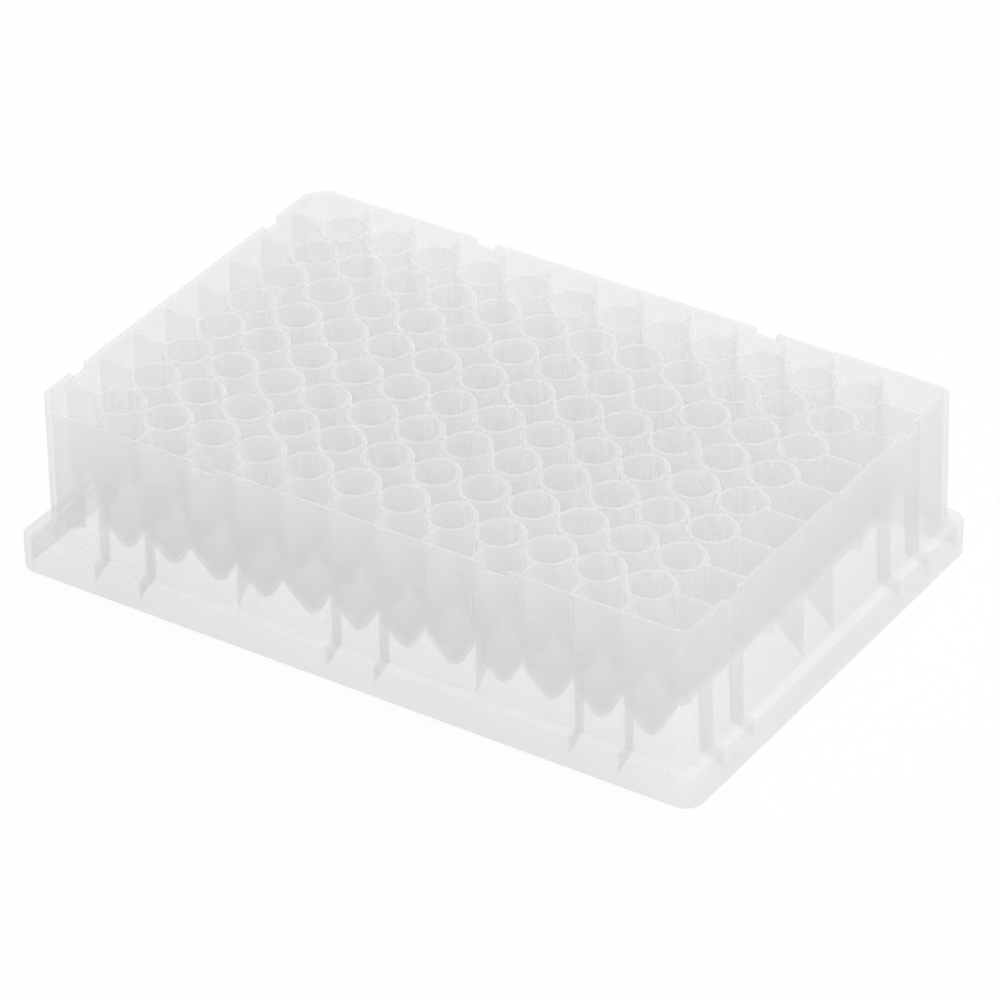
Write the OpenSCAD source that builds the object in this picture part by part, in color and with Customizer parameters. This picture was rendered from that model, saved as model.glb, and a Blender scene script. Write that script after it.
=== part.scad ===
// Deep well plate: one moulded plastic block of open round-bottomed wells, held inside a
// skirted frame on the laboratory microplate footprint.
// Origin: centre of the footprint on the surface it stands on. X runs along the rows,
// Y along the columns, Z up. All lengths are millimetres.

/* [Footprint] */
// Length of the flange that drops into an instrument's nest
base_l = 127.76; // [100:0.01:160]
// Width of the flange
base_w = 85.48; // [70:0.01:120]
// Corner radius of the flange
base_r = 3.18; // [1:0.01:6]
// Height of the flange, from the bench to its ledge
flange_h = 6.1; // [4:0.1:10]
// Wall thickness of the flange
skirt_t = 1.1; // [0.8:0.1:1.6]
// Thickness of the ledge between the flange and the body wall
ledge_t = 1; // [0.6:0.1:2]

/* [Body] */
// Overall height
height = 30.4; // [24:0.1:45]
// How far the body wall stands in from the flange
ledge_w = 2.1; // [1.2:0.05:2.6]
// Thickness of the body wall and of its rim
wall_t = 1; // [0.7:0.1:1.5]
// Corner radius of the body wall at the plain corners
body_r = 3; // [1.5:0.1:6]
// Cut across the corner beside the first well of the last row
front_cut = 5; // [1:0.1:7]
// Cut across the corner beside the first well of the first row
back_cut = 3; // [1:0.1:7]

/* [Wells] */
// Number of columns of wells
cols = 12; // [4:1:12]
// Number of rows of wells
rows = 8; // [4:1:8]
// Distance between neighbouring wells
pitch = 9; // [8.6:0.05:9]
// Bore of a well
well_d = 7; // [6:0.05:7.2]
// Wall thickness of a well
well_t = 0.75; // [0.5:0.05:0.8]
// Height of the lowest point of a well above the bench
well_lift = 2.8; // [1:0.1:5]
// Outer radius of the rounded tip of a well
tip_r = 1.6; // [1.2:0.1:3]
// Included angle of the cone between the tip and the straight bore
cone_angle = 60; // [50:1:110]
// How far the mouths of the wells lie below the rim
mouth_drop = 0.1; // [0.05:0.05:1.5]
// Width of the chamfer round the mouth of a well
lip = 0.25; // [0.1:0.05:0.3]

/* [Webs] */
// Thickness of the webs that join the wells to each other and to the body wall
web_t = 0.9; // [0.6:0.05:1.4]
// Height above the ledge of the arches under the outer webs along the long sides
side_arch = 6.6; // [4:0.1:10]
// Height above the ledge of the arches under the outer webs at the two ends
end_arch = 8.8; // [5:0.1:10]
// How far the tip of a stub web reaches below the top of the ledge
stub_drop = 0.6; // [0.1:0.1:0.9]
// Slope of a stub web's lower edge, rising inwards from the body wall
stub_angle = 40; // [10:1:45]
// Width of a leg, inwards from the body wall
leg_w = 2.4; // [1:0.1:3]
// Gap between the foot of a leg and the bench
foot_gap = 1.5; // [0.5:0.1:3]
// How far the underside of a foot rises inwards
foot_rise = 1.7; // [0:0.1:2]

/* [Rim notches] */
// Width of a notch in the rim
notch_w = 4; // [1:0.1:7]
// Depth of a notch in the rim
notch_h = 1.2; // [0.3:0.1:3]
// Distance from the middle of each side to its two notches, counted in wells
notch_wells = 3; // [1:0.5:3]

/* [Hidden] */
$fn = 96;

// Reach past a face, so that joined and cut shapes share no surface
lap = 0.2;
body_l = base_l - 2 * ledge_w;
body_w = base_w - 2 * ledge_w;
inner_l = body_l - 2 * wall_t;
inner_w = body_w - 2 * wall_t;
mouth_z = height - mouth_drop;
well_r = well_d / 2;
well_or = well_r + well_t;
// Radius of the middle of a well's wall, where the webs end
well_mid = well_r + well_t / 2;
// Height of the centre of the round tips
tip_z = well_lift + tip_r;
// Height where the cones of the wells meet their straight outsides
shell_z = cone_end(well_or, tip_r);
array_l = (cols - 1) * pitch;
array_w = (rows - 1) * pitch;
// Length of the outer webs, from the body wall to the centre of the nearest well
end_reach = (inner_l - array_l) / 2;
side_reach = (inner_w - array_w) / 2;
// Kinds of outer web, from each corner of a side to its middle
SIDE_WEBS = ["leg", "leg", "arch", "stub", "arch", "leg"];
END_WEBS = ["leg", "leg", "arch", "stub"];

function column_x(i) = (i - (cols - 1) / 2) * pitch;
function row_y(j) = (j - (rows - 1) / 2) * pitch;
function from_corner(i, count) = min(i, count - 1 - i);
// Height where a cone that leaves a tip of radius t smoothly has widened to radius r
function cone_end(r, t) =
    tip_z - t * sin(cone_angle / 2) + (r - t * cos(cone_angle / 2)) / tan(cone_angle / 2);

module rounded_rect(l, w, r) {
    square([l - 2 * r, w], center = true);
    square([l, w - 2 * r], center = true);
    for (x = [-1, 1], y = [-1, 1])
        translate([x * (l / 2 - r), y * (w / 2 - r)]) circle(r);
}

// Outline of the body, inset from its outer face, with two corners cut off at the first column's end
module body_outline(inset) {
    l = body_l - 2 * inset;
    w = body_w - 2 * inset;
    // Shortens each cut so that the wall keeps its thickness there
    trim = inset * (2 - sqrt(2));
    difference() {
        rounded_rect(l, w, body_r - inset);
        translate([-l / 2, -w / 2]) rotate(45) square((front_cut - trim) * sqrt(2), center = true);
        translate([-l / 2, w / 2]) rotate(45) square((back_cut - trim) * sqrt(2), center = true);
    }
}

module flange() {
    difference() {
        linear_extrude(flange_h) rounded_rect(base_l, base_w, base_r);
        translate([0, 0, -lap])
            linear_extrude(flange_h - ledge_t + lap)
                rounded_rect(base_l - 2 * skirt_t, base_w - 2 * skirt_t, base_r - skirt_t);
        translate([0, 0, -lap])
            linear_extrude(flange_h + 2 * lap) body_outline(wall_t);
    }
}

module body_wall() {
    translate([0, 0, flange_h - lap])
        linear_extrude(height - flange_h + lap)
            difference() {
                body_outline(0);
                body_outline(wall_t);
            }
}

module rim_notches() {
    run = notch_wells * pitch;
    for (s = [-1, 1], t = [-1, 1]) {
        translate([s * run - notch_w / 2, t * (body_w - wall_t) / 2 - wall_t, height - notch_h])
            cube([notch_w, 2 * wall_t, notch_h + lap]);
        translate([t * (body_l - wall_t) / 2 - wall_t, s * run - notch_w / 2, height - notch_h])
            cube([2 * wall_t, notch_w, notch_h + lap]);
    }
}

// Half section of a well's surface: a rounded tip, a cone and a straight tube up to a given height
module well_profile(r, tip, top) {
    half = cone_angle / 2;
    intersection() {
        union() {
            translate([0, tip_z]) circle(tip);
            polygon([[0, tip_z], [tip * cos(half), tip_z - tip * sin(half)], [r, cone_end(r, tip)],
                     [r, top], [0, top]]);
        }
        square([r + lap, top]);
    }
}

// Outside of one well
module well_shell() {
    rotate_extrude() well_profile(well_or, tip_r, mouth_z);
}

// Space inside one well, opening through its chamfered mouth
module well_bore() {
    rotate_extrude() {
        well_profile(well_r, tip_r - well_t, mouth_z + lap);
        polygon([[0, mouth_z - lip], [well_r, mouth_z - lip], [well_r + lip + lap, mouth_z + lap],
                 [0, mouth_z + lap]]);
    }
}

module each_well() {
    for (i = [0:cols - 1], j = [0:rows - 1])
        translate([column_x(i), row_y(j), 0]) children();
}

// Straight webs through the centres of the wells, along every row and column, clear of the cones
module web_grid() {
    translate([0, 0, shell_z + lap])
        linear_extrude(mouth_z - shell_z - lap) {
            for (i = [0:cols - 1]) translate([column_x(i), 0]) square([web_t, array_w], center = true);
            for (j = [0:rows - 1]) translate([0, row_y(j)]) square([array_l, web_t], center = true);
        }
}

// Outline of an outer web: x is the distance in from the body wall, y the height
module web_outline(kind, reach, arch) {
    ledge_z = flange_h - ledge_t;
    stub_z = flange_h - stub_drop;
    gap = reach - well_mid;
    crown = flange_h + arch;
    rise = crown - shell_z;
    // Radius of the arch, level at the body wall and down to the cone inside the well's own wall
    arch_r = (gap * gap + rise * rise) / (2 * rise);
    if (kind == "stub") {
        polygon([[-lap, stub_z], [0, stub_z], [gap, stub_z + gap * tan(stub_angle)], [reach, mouth_z - lip],
                 [reach, mouth_z], [-lap, mouth_z]]);
    } else {
        difference() {
            translate([-lap, shell_z]) square([reach + lap, mouth_z - shell_z]);
            translate([0, crown - arch_r]) circle(arch_r);
        }
    }
    if (kind == "leg") {
        skirt_x = skirt_t - ledge_w - wall_t;
        polygon([[skirt_x - lap, foot_gap], [leg_w, foot_gap + foot_rise], [leg_w, crown + lap],
                 [-lap, crown + lap], [-lap, ledge_z + lap], [skirt_x - lap, ledge_z + lap]]);
    }
}

module outer_web(kind, reach, arch) {
    rotate([90, 0, 0])
        translate([0, 0, -web_t / 2]) linear_extrude(web_t) web_outline(kind, reach, arch);
}

module outer_webs() {
    for (i = [0:cols - 1], side = [0, 180])
        rotate(side)
            translate([column_x(i), -inner_w / 2, 0])
                rotate(90) outer_web(SIDE_WEBS[from_corner(i, cols)], side_reach, side_arch);
    for (j = [0:rows - 1], side = [0, 180])
        rotate(side)
            translate([-inner_l / 2, row_y(j), 0])
                outer_web(END_WEBS[from_corner(j, rows)], end_reach, end_arch);
}

module deep_well_plate() {
    color([0.9, 0.91, 0.9])
        difference() {
            union() {
                flange();
                body_wall();
                each_well() well_shell();
                web_grid();
                outer_webs();
            }
            each_well() well_bore();
            rim_notches();
        }
}

deep_well_plate();
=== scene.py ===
"""Deep well plate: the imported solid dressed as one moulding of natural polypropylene, in a plain studio.

The plate is built again from its own sizes with the roundings that a mould leaves: a flanged body, a field of
wells with the webs between them, and the webs and legs that tie the field to the body, all joined to one closed
skin. Sizes are in millimetres and the meshes in metres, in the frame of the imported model.
"""

import logging
import math
from dataclasses import dataclass, field
from enum import Enum
from typing import Any, Iterable, Sequence

import bmesh
import bpy
from mathutils import Matrix, Vector


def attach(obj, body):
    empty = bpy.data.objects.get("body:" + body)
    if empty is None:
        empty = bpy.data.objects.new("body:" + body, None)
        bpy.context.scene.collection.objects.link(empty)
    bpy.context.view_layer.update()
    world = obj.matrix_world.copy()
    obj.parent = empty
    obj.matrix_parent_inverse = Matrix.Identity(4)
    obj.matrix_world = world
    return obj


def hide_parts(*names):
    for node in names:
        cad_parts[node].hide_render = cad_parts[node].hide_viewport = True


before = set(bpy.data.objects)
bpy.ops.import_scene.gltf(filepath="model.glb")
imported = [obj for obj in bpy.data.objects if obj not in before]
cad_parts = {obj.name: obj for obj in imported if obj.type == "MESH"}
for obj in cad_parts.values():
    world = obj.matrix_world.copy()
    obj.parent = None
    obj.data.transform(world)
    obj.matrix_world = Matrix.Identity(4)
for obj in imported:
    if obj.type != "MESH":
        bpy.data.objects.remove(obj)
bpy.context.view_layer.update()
LOG = logging.getLogger("deep_well_plate")
MM = 0.001
Point = tuple[float, float]
Loop = list[Point]


def mesh_object(name: str, points: Iterable[Sequence[float]], faces: Iterable[Sequence[int]]) -> bpy.types.Object:
    """Makes a linked object from points in millimetres.

    Args:
        name: Name of the object and its mesh.
        points: Corner positions in millimetres.
        faces: Corner indices of each face.

    Returns:
        The object, at the origin.
    """
    mesh = bpy.data.meshes.new(name)
    mesh.from_pydata([[v * MM for v in p] for p in points], [], list(faces))
    made = bpy.data.objects.new(name, mesh)
    bpy.context.scene.collection.objects.link(made)
    return made


def ring_faces(rings: int, count: int, closed: bool) -> list[tuple[int, int, int, int]]:
    """Returns the quads between successive rings of count points each, and back to the first if closed."""
    last = rings if closed else rings - 1
    return [
        (r * count + c, r * count + (c + 1) % count, (r + 1) % rings * count + (c + 1) % count,
         (r + 1) % rings * count + c)
        for r in range(last) for c in range(count)
    ]


def arc(x: float, y: float, radius: float, start: float, end: float, steps: int) -> Loop:
    """Returns points along an arc, its angles in degrees."""
    turns = [math.radians(start + (end - start) * i / steps) for i in range(steps + 1)]
    return [(x + radius * math.cos(t), y + radius * math.sin(t)) for t in turns]


def fillet(before: Point, corner: Point, after: Point, radius: float, steps: int) -> Loop:
    """Rounds one convex corner of a counterclockwise outline.

    Args:
        before: A point on the side that leads to the corner.
        corner: The sharp corner.
        after: A point on the side that leaves it.
        radius: Radius of the rounding.
        steps: Segments of the arc.

    Returns:
        The points of the arc, from one side to the other.
    """
    into = (Vector(corner) - Vector(before)).normalized()
    out = (Vector(after) - Vector(corner)).normalized()
    half = into.angle(out) / 2
    centre = Vector(corner) - into * radius * math.tan(half) + Vector((-into.y, into.x)) * radius
    start = math.degrees(math.atan2(-into.x, into.y))
    return arc(centre.x, centre.y, radius, start, start + math.degrees(2 * half), steps)


class Tree:
    """A node tree under construction: one method adds any node."""

    def __init__(self, tree: bpy.types.NodeTree, prefix: str) -> None:
        """Takes an empty tree and the prefix of its node types."""
        self.tree = tree
        self.prefix = prefix

    def node(self, kind: str, settings: dict[str, Any] | None = None, **values: Any) -> bpy.types.Node:
        """Adds a node.

        Args:
            kind: Node type without its prefix, or a full type name.
            settings: Properties of the node, set before its sockets.
            values: Values or links of its sockets, by name with _ for a space, or _0, _1 by place.

        Returns:
            The new node.
        """
        full = kind if kind.startswith(("Shader", "Geometry", "Function", "Node")) else self.prefix + kind
        new = self.tree.nodes.new(full)
        for key, value in (settings or {}).items():
            setattr(new, key, value)
        for key, value in values.items():
            socket = new.inputs[int(key[1:])] if key[1:].isdigit() else new.inputs[key.replace("_", " ")]
            self.feed(socket, value)
        return new

    def feed(self, socket: bpy.types.NodeSocket, value: Any) -> None:
        """Links an input socket to one or more outputs, or sets its value."""
        if isinstance(value, (list, tuple)) and value and isinstance(value[0], bpy.types.NodeSocket):
            for output in value:
                self.tree.links.new(output, socket)
        elif isinstance(value, Wire):
            self.tree.links.new(value.socket, socket)
        elif isinstance(value, bpy.types.NodeSocket):
            self.tree.links.new(value, socket)
        else:
            socket.default_value = value


class Wire:
    """A number on its way through a tree. Arithmetic on it adds Math nodes."""

    def __init__(self, tree: Tree, socket: bpy.types.NodeSocket) -> None:
        """Wraps one output socket."""
        self.tree = tree
        self.socket = socket

    def _math(self, operation: str, first: Any, second: Any = 0.0, clamp: bool = False) -> "Wire":
        """Adds one Math node and returns its result."""
        made = self.tree.node("ShaderNodeMath", {"operation": operation, "use_clamp": clamp}, _0=first, _1=second)
        return Wire(self.tree, made.outputs[0])

    def __add__(self, other: Any) -> "Wire":
        """Adds."""
        return self._math("ADD", self, other)

    __radd__ = __add__

    def __sub__(self, other: Any) -> "Wire":
        """Subtracts."""
        return self._math("SUBTRACT", self, other)

    def __rsub__(self, other: Any) -> "Wire":
        """Subtracts from other."""
        return self._math("SUBTRACT", other, self)

    def __mul__(self, other: Any) -> "Wire":
        """Multiplies."""
        return self._math("MULTIPLY", self, other)

    __rmul__ = __mul__

    def clamped(self) -> "Wire":
        """Limits to the range 0 to 1."""
        return self._math("ADD", self, 0.0, clamp=True)


class WebKind(Enum):
    """Lower edge of a web between the body wall and an outer well."""

    LEG = "reaches down to a foot inside the flange"
    ARCH = "ends in an arch"
    STUB = "slants down to a tip at the wall"


@dataclass
class Body:
    """Flange, ledge and body wall with its rim notches and two cut corners."""

    length: float = 127.76
    width: float = 85.48
    flange_r: float = 3.18
    flange_h: float = 6.1
    skirt_t: float = 1.1
    ledge_t: float = 1.0
    height: float = 30.4
    ledge_w: float = 2.1
    wall_t: float = 1.0
    wall_r: float = 3.0
    front_cut: float = 5.0
    back_cut: float = 3.0
    cut_r: float = 1.4
    foot_out: float = 0.15
    top_in: float = 0.07
    edge: float = 0.28
    hem: float = 0.18
    root: float = 0.3
    notch_w: float = 4.0
    notch_h: float = 1.2
    notch_at: float = 27.0
    notch_r: float = 0.25
    corner_steps: int = 11
    corner_run: float = 9.0

    def stations(self) -> Loop:
        """Returns the places along a side and how far the rim drops there, for its two notches."""
        half, r, h = self.notch_w / 2, self.notch_r, self.notch_h
        flank = [(half + r, 0.0), (half + 0.35 * r, 0.08 * r), (half + 0.08 * r, 0.35 * r), (half, r),
                 (half - 0.02, h - r), (half - 0.1 * r, h - 0.35 * r), (half - 0.4 * r, h - 0.08 * r), (half - r, h)]
        one = [(-s, d) for s, d in flank] + [(s, d) for s, d in reversed(flank)]
        return [(c + s, d) for c in (-self.notch_at, self.notch_at) for s, d in one]

    def outline(self, inset: float, flange: bool) -> Loop:
        """Returns one ring of the flange or the body, counterclockwise, with matching points on every ring.

        Args:
            inset: Distance inwards from the outer face.
            flange: Whether the ring is of the flange.
        """
        step_in = inset if flange else inset + self.ledge_w
        x, y = self.length / 2 - step_in, self.width / 2 - step_in
        radius = (self.flange_r if flange else self.wall_r) - inset
        along = [s for s, _ in self.stations()]
        trim = inset * (2 - math.sqrt(2))
        ring: Loop = [(s, -y) for s in along]
        ring += self.corner((x, -y), (1, 0), (0, 1), radius, 0.0, inset)
        ring += [(x, s) for s in along]
        ring += self.corner((x, y), (0, 1), (-1, 0), radius, 0.0, inset)
        ring += [(-s, y) for s in along]
        ring += self.corner((-x, y), (-1, 0), (0, -1), radius, 0.0 if flange else self.back_cut - trim, inset)
        ring += [(-x, -s) for s in along]
        ring += self.corner((-x, -y), (0, -1), (1, 0), radius, 0.0 if flange else self.front_cut - trim, inset)
        return ring

    def corner(self, tip: Point, into: Point, out: Point, radius: float, cut: float, inset: float) -> Loop:
        """Returns the points of one corner: a plain rounding, or a cut with two small ones.

        Args:
            tip: The sharp corner.
            into: Direction of the side that leads to it.
            out: Direction of the side that leaves it.
            radius: Radius of a plain corner.
            cut: Length cut off each side, or 0 for a plain corner.
            inset: Distance inwards from the outer face.
        """
        before = (tip[0] - self.corner_run * into[0], tip[1] - self.corner_run * into[1])
        after = (tip[0] + self.corner_run * out[0], tip[1] + self.corner_run * out[1])
        if not cut:
            return fillet(before, tip, after, radius, self.corner_steps)
        first = (tip[0] - cut * into[0], tip[1] - cut * into[1])
        second = (tip[0] + cut * out[0], tip[1] + cut * out[1])
        steps = self.corner_steps // 2
        small = self.cut_r - inset
        return fillet(before, first, second, small, steps) + fillet(first, second, after, small, steps)

    def section(self) -> list[tuple[float, float, bool, bool]]:
        """Returns the wall's section as rings: inset, height, of the flange or not, following the rim or not."""
        e, h, q = self.edge, self.hem, self.root
        under = self.flange_h - self.ledge_t
        low, top = -self.foot_out, self.top_in
        turn = [(1 - math.cos(t), math.sin(t)) for t in (0.0, math.pi / 6, math.pi / 3, math.pi / 2)]
        rings = [(h * c, h - h * s, True, False) for c, s in reversed(turn)]
        rings += [(e * c, self.flange_h - e + e * s, True, False) for c, s in turn]
        rings += [(low - q * (1 - s), self.flange_h + q * c, False, False) for c, s in turn]
        rings += [(top + e * c, self.height - e + e * s, False, True) for c, s in turn]
        inner = top + self.wall_t
        rings += [(inner - e * c, self.height - e + e * s, False, True) for c, s in reversed(turn)]
        deep = low + self.wall_t
        rings += [(deep - h * c, under + h - h * s, False, False) for c, s in turn]
        rings += [(self.skirt_t + q * (1 - s), under - q * c, True, False) for c, s in turn]
        rings += [(self.skirt_t - h * c, h - h * s, True, False) for c, s in turn]
        return rings

    def build(self) -> bpy.types.Object:
        """Returns the body as one closed skin."""
        drops = [d for _, d in self.stations()]
        ends = [0.0] * (self.corner_steps + 1)
        points = []
        for inset, z, flange, rim in self.section():
            ring = self.outline(inset, flange)
            fall = [0.0] * len(ring)
            if rim:
                cuts = [len(ends)] * 4
                fall = [d for _ in cuts for d in drops + ends]
            points += [(x, y, z - d) for (x, y), d in zip(ring, fall)]
        count = len(self.outline(0.0, True))
        return mesh_object("body", points, ring_faces(len(self.section()), count, closed=True))


@dataclass
class Well:
    """One well: a straight bore on a cone with a rounded tip."""

    bore_r: float = 3.5
    wall_t: float = 0.75
    lift: float = 2.8
    tip_r: float = 1.6
    half_angle: float = 30.0
    mouth_z: float = 30.3
    lip: float = 0.2
    blend: float = 1.6
    sides: int = 36

    @property
    def outer_r(self) -> float:
        """Outer radius of the straight part."""
        return self.bore_r + self.wall_t

    @property
    def mid_r(self) -> float:
        """Radius of the middle of the wall."""
        return self.bore_r + self.wall_t / 2

    def cone_end(self, radius: float, tip: float) -> float:
        """Returns the height where the cone has widened to radius."""
        a = math.radians(self.half_angle)
        return self.lift + self.tip_r - tip * math.sin(a) + (radius - tip * math.cos(a)) / math.tan(a)

    def shoulder(self, radius: float, tip: float) -> Loop:
        """Returns the rounding between the cone and the straight part, from below."""
        a = math.radians(self.half_angle)
        z = self.cone_end(radius, tip) + self.blend * math.tan(a / 2)
        return arc(radius - self.blend, z, self.blend, -self.half_angle, 0.0, 2)

    def profile(self) -> Loop:
        """Returns the half section from the outer tip over the mouth to the inner tip."""
        centre = self.lift + self.tip_r
        inner = self.tip_r - self.wall_t
        out = arc(0.0, centre, self.tip_r, -90.0, -self.half_angle, 3) + self.shoulder(self.outer_r, self.tip_r)
        lip, top = self.lip, self.mouth_z
        mouth = arc(self.outer_r - lip, top - lip, lip, 0.0, 90.0, 2)
        mouth += arc(self.bore_r + lip, top - lip, lip, 90.0, 180.0, 2)
        down = self.shoulder(self.bore_r, inner)[::-1] + arc(0.0, centre, inner, -self.half_angle, -90.0, 2)
        return out + mouth + down

    def build(self) -> bpy.types.Object:
        """Returns one well on the axis as a closed skin."""
        section = self.profile()
        ring = section[1:-1]
        turns = [2 * math.pi * i / self.sides for i in range(self.sides)]
        points = [(r * math.cos(t), r * math.sin(t), z) for r, z in ring for t in turns]
        faces: list[tuple[int, ...]] = list(ring_faces(len(ring), self.sides, closed=False))
        points += [(0.0, 0.0, section[0][1]), (0.0, 0.0, section[-1][1])]
        low, high = len(points) - 2, len(points) - 1
        start = (len(ring) - 1) * self.sides
        for i in range(self.sides):
            j = (i + 1) % self.sides
            faces += [(low, j, i), (start + i, start + j, high)]
        return mesh_object("well", points, faces)


@dataclass
class Webs:
    """Webs between neighbouring wells, and from the outer wells to the body wall."""

    well: Well
    body: Body
    thickness: float = 0.9
    round_r: float = 0.2
    clear_z: float = 0.2
    side_arch: float = 6.6
    end_arch: float = 8.8
    stub_drop: float = 0.6
    stub_angle: float = 40.0
    leg_w: float = 2.4
    foot_gap: float = 1.5
    foot_rise: float = 1.7
    embed: float = 0.3
    stub_start: float = 0.1
    leg_overlap: float = 0.05
    side_kinds: tuple[WebKind, ...] = (
        WebKind.LEG, WebKind.LEG, WebKind.ARCH, WebKind.STUB, WebKind.ARCH, WebKind.LEG)
    end_kinds: tuple[WebKind, ...] = (WebKind.LEG, WebKind.LEG, WebKind.ARCH, WebKind.STUB)

    @property
    def low_z(self) -> float:
        """Height where the cones of the wells begin."""
        return self.well.cone_end(self.well.outer_r, self.well.tip_r)

    def between(self, pitch: float) -> bpy.types.Object:
        """Returns the web between two wells along X, flared where it meets them."""
        reach = pitch / 2 - self.well.mid_r
        half, r, top, low = self.thickness / 2, self.round_r, self.well.mouth_z, self.low_z + self.clear_z
        flare = [(-1.0, 0.5), (-0.6, 0.16), (-0.25, 0.02), (0.25, 0.02), (0.6, 0.16), (1.0, 0.5)]
        points = []
        for place, wider in flare:
            w = half + wider
            over = arc(w - r, top - r, r, 0.0, 90.0, 2) + arc(r - w, top - r, r, 90.0, 180.0, 2)
            ring = [(w, low)] + over + [(-w, low)]
            points += [(place * reach, y, z) for y, z in ring]
        count = len(points) // len(flare)
        faces: list[tuple[int, ...]] = list(ring_faces(len(flare), count, closed=False))
        faces += [tuple(range(count))[::-1], tuple(range(len(points) - count, len(points)))]
        return mesh_object("web", points, faces)

    def outline(self, kind: WebKind, reach: float, arch: float) -> Loop:
        """Returns the outline of an outer web: distance in from the wall, and height."""
        b, top = self.body, self.well.mouth_z
        gap = reach - self.well.mid_r
        crown, stub_z, under = b.flange_h + arch, b.flange_h - self.stub_drop, b.flange_h - b.ledge_t
        if kind is WebKind.STUB:
            slant = (gap, stub_z + gap * math.tan(math.radians(self.stub_angle)))
            return [(-self.embed, stub_z), (self.stub_start, stub_z), slant, (gap, top), (-self.embed, top)]
        rise = crown - self.low_z
        radius = (gap * gap + rise * rise) / (2 * rise)
        end = math.degrees(math.acos(min(1.0, gap / radius)))
        curve = arc(0.0, crown - radius, radius, 90.0, end, 9)
        if kind is WebKind.ARCH:
            return [(-self.embed, crown)] + curve + [(gap, top), (-self.embed, top)]
        skirt_x = b.skirt_t - b.ledge_w - b.wall_t - self.embed
        past = [p for p in curve if p[0] > self.leg_w + self.leg_overlap]
        edge_z = crown - radius + math.sqrt(radius * radius - self.leg_w ** 2)
        foot = [(skirt_x, self.foot_gap), (self.leg_w, self.foot_gap + self.foot_rise), (self.leg_w, edge_z)]
        head = [(gap, top), (-self.embed, top), (-self.embed, under + self.embed), (skirt_x, under + self.embed)]
        return foot + past + head

    def outer(self, cols: int, rows: int, pitch: float) -> bpy.types.Object:
        """Returns all outer webs as one mesh of separate closed pieces.

        Args:
            cols: Wells along X.
            rows: Wells along Y.
            pitch: Distance between wells.
        """
        inner_x = self.body.length / 2 - self.body.ledge_w - self.body.wall_t
        inner_y = self.body.width / 2 - self.body.ledge_w - self.body.wall_t
        span_x, span_y = (cols - 1) * pitch / 2, (rows - 1) * pitch / 2
        bm = bmesh.new()
        for i in range(cols):
            kind = self.side_kinds[min(i, cols - 1 - i)]
            loop = self.outline(kind, inner_y - span_y, self.side_arch)
            for turn in (0, 180):
                place = Matrix.Rotation(math.radians(turn), 4, "Z") @ Matrix.Translation(
                    (i * pitch - span_x, -inner_y, 0)) @ Matrix.Rotation(math.radians(90), 4, "Z")
                self.add_web(bm, loop, place)
        for j in range(rows):
            kind = self.end_kinds[min(j, rows - 1 - j)]
            loop = self.outline(kind, inner_x - span_x, self.end_arch)
            for turn in (0, 180):
                place = Matrix.Rotation(math.radians(turn), 4, "Z") @ Matrix.Translation(
                    (-inner_x, j * pitch - span_y, 0))
                self.add_web(bm, loop, place)
        bmesh.ops.transform(bm, matrix=Matrix.Scale(MM, 4), verts=bm.verts)
        mesh = bpy.data.meshes.new("outer_webs")
        bm.to_mesh(mesh)
        bm.free()
        made = bpy.data.objects.new("outer_webs", mesh)
        bpy.context.scene.collection.objects.link(made)
        return made

    def add_web(self, bm: bmesh.types.BMesh, loop: Loop, place: Matrix) -> None:
        """Adds one upright slab with rounded rims to bm, its outline in the XZ plane before place moves it."""
        half = self.thickness / 2
        front = [bm.verts.new((x, -half, z)) for x, z in loop]
        back = [bm.verts.new((x, half, z)) for x, z in loop]
        n = len(loop)
        faces = [bm.faces.new(front), bm.faces.new(back[::-1])]
        faces += [bm.faces.new((front[(i + 1) % n], front[i], back[i], back[(i + 1) % n])) for i in range(n)]
        rims = [e for f in faces[:2] for e in f.edges]
        made = bmesh.ops.bevel(bm, geom=rims, offset=self.round_r, segments=2, profile=0.5, affect="EDGES",
                               clamp_overlap=False)
        verts = {v for f in made["faces"] for v in f.verts} | {v for f in faces if f.is_valid for v in f.verts}
        bmesh.ops.transform(bm, matrix=place, verts=list(verts))


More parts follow.
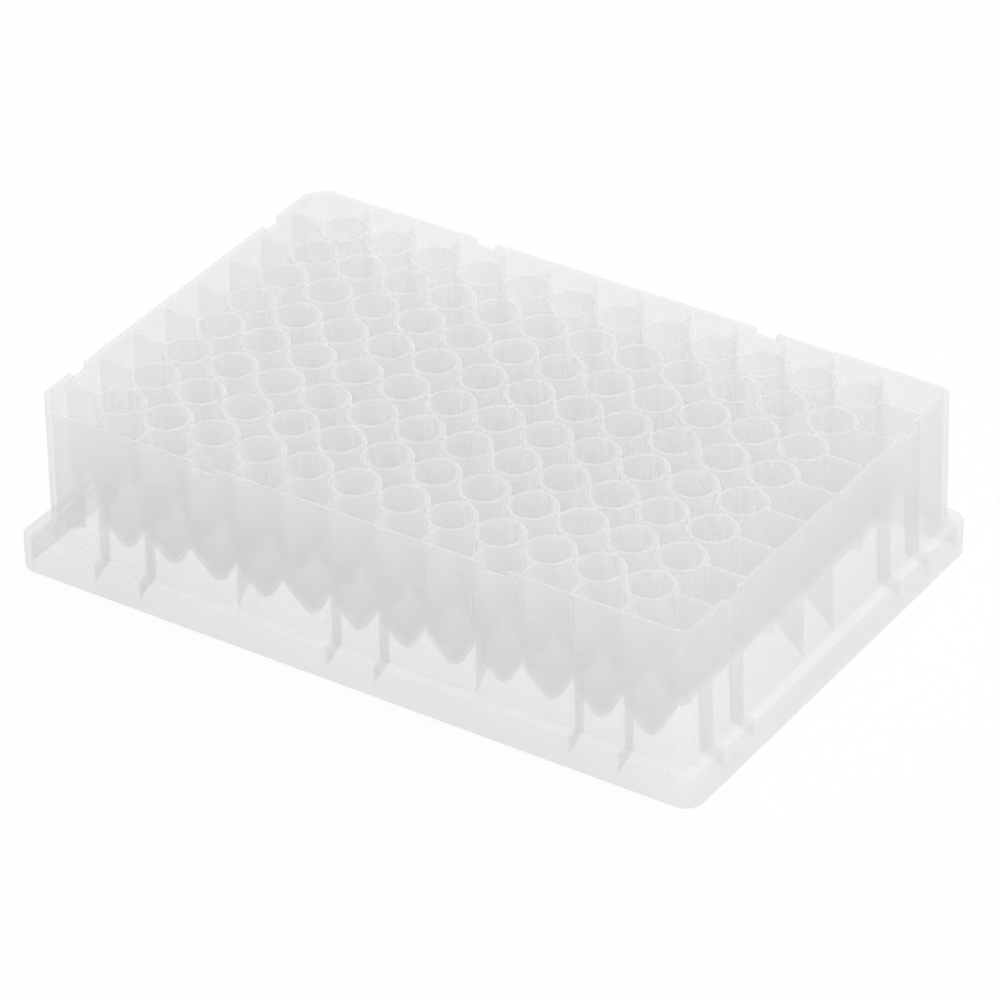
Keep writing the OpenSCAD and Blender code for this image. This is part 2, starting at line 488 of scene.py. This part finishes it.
@dataclass
class Plate:
    """The whole moulding: body, wells and webs joined by one node tree."""

    cols: int = 12
    rows: int = 8
    pitch: float = 9.0
    sharp_angle: float = 40.0
    body: Body = field(default_factory=Body)
    well: Well = field(default_factory=Well)

    def field_tree(self) -> bpy.types.NodeTree:
        """Returns the tree that sets out the wells and webs on their grid and joins them to the body."""
        group = bpy.data.node_groups.new("well_field", "GeometryNodeTree")
        group.is_modifier = True
        kinds = {"Body": "Geometry", "Columns": "Int", "Rows": "Int", "Pitch": "Float", "Well": "Object",
                 "Web": "Object", "Outer Webs": "Object", "Finish": "Material"}
        for name, kind in kinds.items():
            group.interface.new_socket(name, in_out="INPUT", socket_type="NodeSocket" + kind)
        group.interface.new_socket("Plate", in_out="OUTPUT", socket_type="NodeSocketGeometry")
        t = Tree(group, "GeometryNode")
        sizes = t.node("NodeGroupInput").outputs
        cols, rows, pitch = (Wire(t, sizes[n]) for n in ("Columns", "Rows", "Pitch"))
        names = ("Well", "Web", "Outer Webs")
        solids = {n: t.node("ObjectInfo", None, Object=sizes[n]).outputs["Geometry"] for n in names}

        def spread(count_x: Wire, count_y: Wire, solid: bpy.types.NodeSocket, turn: float) -> bpy.types.NodeSocket:
            """Returns solid repeated over a centred grid of count_x by count_y places."""
            grid = t.node("MeshGrid", None, Size_X=(count_x - 1) * pitch, Size_Y=(count_y - 1) * pitch,
                          Vertices_X=count_x, Vertices_Y=count_y)
            put = t.node("InstanceOnPoints", None, Points=grid.outputs["Mesh"], Instance=solid,
                         Rotation=(0.0, 0.0, turn))
            return t.node("RealizeInstances", None, Geometry=put.outputs[0]).outputs[0]

        wells = spread(cols, rows, solids["Well"], 0.0)
        row_webs = spread(cols - 1, rows, solids["Web"], 0.0)
        column_webs = spread(cols, rows - 1, solids["Web"], math.pi / 2)
        joined = t.node("MeshBoolean", {"operation": "UNION", "solver": "MANIFOLD"})
        t.feed(joined.inputs["Mesh 2"], [sizes["Body"], wells, row_webs, column_webs, solids["Outer Webs"]])
        dressed = t.node("SetMaterial", None, Geometry=joined.outputs[0], Material=sizes["Finish"])
        t.node("NodeGroupOutput", None, Plate=dressed.outputs[0])
        return group

    def build(self, finish: bpy.types.Material) -> bpy.types.Object:
        """Returns the plate as one closed mesh.

        Args:
            finish: Its material.
        """
        webs = Webs(self.well, self.body)
        helpers = {"Well": self.well.build(), "Web": webs.between(self.pitch),
                   "Outer Webs": webs.outer(self.cols, self.rows, self.pitch)}
        base = self.body.build()
        for helper in (base, *helpers.values()):
            self.face_out(helper)
        tree = self.field_tree()
        inputs = {item.name: item.identifier for item in tree.interface.items_tree if item.in_out == "INPUT"}
        modifier = base.modifiers.new("well_field", "NODES")
        modifier.node_group = tree
        values = {"Columns": self.cols, "Rows": self.rows, "Pitch": self.pitch * MM, "Finish": finish, **helpers}
        for name, value in values.items():
            modifier[inputs[name]] = value
        seen = base.evaluated_get(bpy.context.evaluated_depsgraph_get())
        mesh = bpy.data.meshes.new_from_object(seen)
        mesh.name = "moulded_plate"
        plate = bpy.data.objects.new("moulded_plate", mesh)
        bpy.context.scene.collection.objects.link(plate)
        for helper in (base, *helpers.values()):
            bpy.data.objects.remove(helper)
        mesh.shade_smooth()
        mesh.set_sharp_from_angle(angle=math.radians(self.sharp_angle))
        return plate

    @staticmethod
    def face_out(solid: bpy.types.Object) -> None:
        """Turns the faces of a closed mesh outwards."""
        bm = bmesh.new()
        bm.from_mesh(solid.data)
        bmesh.ops.recalc_face_normals(bm, faces=bm.faces)
        open_edges = sum(not e.is_manifold for e in bm.edges)
        LOG.info("%s: %d faces, %d open edges", solid.name, len(bm.faces), open_edges)
        bm.to_mesh(solid.data)
        bm.free()


@dataclass(frozen=True)
class NaturalPlastic:
    """Natural polypropylene: clear with a milky haze that thickens where a wall is seen edge on, and a satin skin.

    Nearly half of what the haze scatters goes on through the wall, so that light fills the wells from all sides.
    """

    milk: tuple[float, float, float] = (0.985, 0.985, 0.982)
    milk_warm: tuple[float, float, float] = (0.98, 0.972, 0.962)
    roughness: float = 0.26
    roughness_spread: float = 0.12
    ior: float = 1.49
    haze: float = 0.21
    haze_spread: float = 0.07
    edge_haze: float = 0.65
    edge_blend: float = 0.35
    through: float = 0.45
    cloud_size: float = 0.018
    cloud_detail: float = 1.0

    def build(self) -> bpy.types.Material:
        """Returns the material."""
        material = bpy.data.materials.new("natural_plastic")
        material.use_nodes = True
        material.node_tree.nodes.clear()
        t = Tree(material.node_tree, "ShaderNode")
        place = t.node("TexCoord").outputs["Object"]
        cloud = self.noise(t, place, self.cloud_size, self.cloud_detail)
        tint = t.node("Mix", {"data_type": "RGBA"}, _0=cloud, _6=(*self.milk, 1), _7=(*self.milk_warm, 1))
        front = t.node("BsdfPrincipled", None, Base_Color=tint.outputs[2], IOR=self.ior,
                       Roughness=cloud * self.roughness_spread + self.roughness)
        back = t.node("BsdfTranslucent", None, Color=(*self.milk, 1))
        milk = t.node("MixShader", None, _0=self.through, _1=front.outputs[0], _2=back.outputs[0])
        clear = t.node("BsdfTransparent", None, Color=(1, 1, 1, 1))
        facing = Wire(t, t.node("LayerWeight", None, Blend=self.edge_blend).outputs["Facing"])
        edge = facing * facing
        haze = cloud * self.haze_spread + self.haze
        amount = (haze + edge * (self.edge_haze - haze)).clamped()
        mix = t.node("MixShader", None, _0=amount, _1=clear.outputs[0], _2=milk.outputs[0])
        t.node("OutputMaterial", None, Surface=mix.outputs[0])
        return material

    @staticmethod
    def noise(t: Tree, place: bpy.types.NodeSocket, size: float, detail: float) -> Wire:
        """Returns smooth noise from 0 to 1, with features of about size metres."""
        return Wire(t, t.node("TexNoise", None, Vector=place, Scale=1.0 / size, Detail=detail).outputs[0])


@dataclass
class Studio:
    """Camera, floor and soft light. Lengths in metres, the floor's in millimetres."""

    azimuth: float = 33.7715
    elevation: float = 33.2771
    roll: float = -1.2137
    place: tuple[float, float, float] = (0.43533, -0.64884, 0.52370)
    lens: float = 209.755
    sensor: float = 36.0
    floor_half: float = 3000.0
    floor_z: float = -0.2
    floor_grey: float = 0.9
    floor_white: float = 0.93
    fill: float = 0.5
    softbox_power: float = 7.0
    softbox_size: float = 0.9
    softbox_place: tuple[float, float, float] = (0.14, 0.16, 1.0)
    clear_bounces: int = 32
    all_bounces: int = 24
    milk_bounces: int = 16

    def camera(self) -> None:
        """Makes the scene's camera."""
        a, e, r = (math.radians(v) for v in (self.azimuth, self.elevation, self.roll))
        back = Vector((math.sin(a) * math.cos(e), -math.cos(a) * math.cos(e), math.sin(e)))
        right = (-back).cross(Vector((0, 0, 1))).normalized()
        up = right.cross(-back)
        x = right * math.cos(r) + up * math.sin(r)
        y = up * math.cos(r) - right * math.sin(r)
        turn = Matrix((x, y, back)).transposed().to_4x4()
        data = bpy.data.cameras.new("camera")
        data.lens, data.sensor_width, data.sensor_fit = self.lens, self.sensor, "HORIZONTAL"
        camera = bpy.data.objects.new("camera", data)
        camera.matrix_world = Matrix.Translation(self.place) @ turn
        bpy.context.scene.collection.objects.link(camera)
        bpy.context.scene.camera = camera

    def seen(self, t: Tree) -> Wire:
        """Returns 1 for rays from the camera, gloss and clear pieces, and 0 for rays that gather light."""
        path = {name: Wire(t, socket) for name, socket in t.node("LightPath").outputs.items()}
        return (path["Is Camera Ray"] + path["Is Glossy Ray"] + path["Is Transmission Ray"]).clamped()

    def floor(self) -> None:
        """Makes the pale floor, which looks nearly white and keeps a faint shadow."""
        s, z = self.floor_half, self.floor_z
        floor = mesh_object("floor", [(-s, -s, z), (s, -s, z), (s, s, z), (-s, s, z)], [(0, 1, 2, 3)])
        material = bpy.data.materials.new("floor_white")
        material.use_nodes = True
        material.node_tree.nodes.clear()
        t = Tree(material.node_tree, "ShaderNode")
        glow = t.node("Emission", None, Color=(1, 1, 1, 1), Strength=1.0)
        matt = t.node("BsdfDiffuse", None, Color=(self.floor_grey, self.floor_grey, self.floor_grey, 1))
        mix = t.node("MixShader", None, _0=self.seen(t) * self.floor_white, _1=matt.outputs[0], _2=glow.outputs[0])
        t.node("OutputMaterial", None, Surface=mix.outputs[0])
        floor.data.materials.append(material)

    def light(self) -> None:
        """Makes the world, white where it is seen and softer where it lights, and the softbox overhead."""
        scene = bpy.context.scene
        world = bpy.data.worlds.new("studio")
        world.use_nodes = True
        world.node_tree.nodes.clear()
        t = Tree(world.node_tree, "ShaderNode")
        strength = self.seen(t) * (1.0 - self.fill) + self.fill
        sky = t.node("Background", None, Color=(1, 1, 1, 1), Strength=strength)
        t.node("OutputWorld", None, Surface=sky.outputs[0])
        scene.world = world
        lamp = bpy.data.lights.new("softbox", "AREA")
        lamp.energy, lamp.size = self.softbox_power, self.softbox_size
        softbox = bpy.data.objects.new("softbox", lamp)
        softbox.location = self.softbox_place
        softbox.rotation_euler = (-softbox.location).to_track_quat("-Z", "Y").to_euler()
        scene.collection.objects.link(softbox)
        scene.view_settings.view_transform = "Standard"

    def bounces(self) -> None:
        """Lets light pass the many thin walls of the plate before a path ends."""
        cycles = bpy.context.scene.cycles
        cycles.transparent_max_bounces = self.clear_bounces
        cycles.max_bounces = self.all_bounces
        cycles.diffuse_bounces = self.milk_bounces
        cycles.transmission_bounces = self.milk_bounces


def main() -> None:
    """Builds the studio and the plate."""
    logging.basicConfig(level=logging.INFO, format="%(message)s")
    studio = Studio()
    studio.camera()
    studio.floor()
    studio.light()
    studio.bounces()
    plate = Plate().build(NaturalPlastic().build())
    plate.data.calc_loop_triangles()
    LOG.info("%s: %d triangles", plate.name, len(plate.data.loop_triangles))
    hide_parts("deep_well_plate")
    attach(plate, "root")


if __name__ == "__main__":
    main()
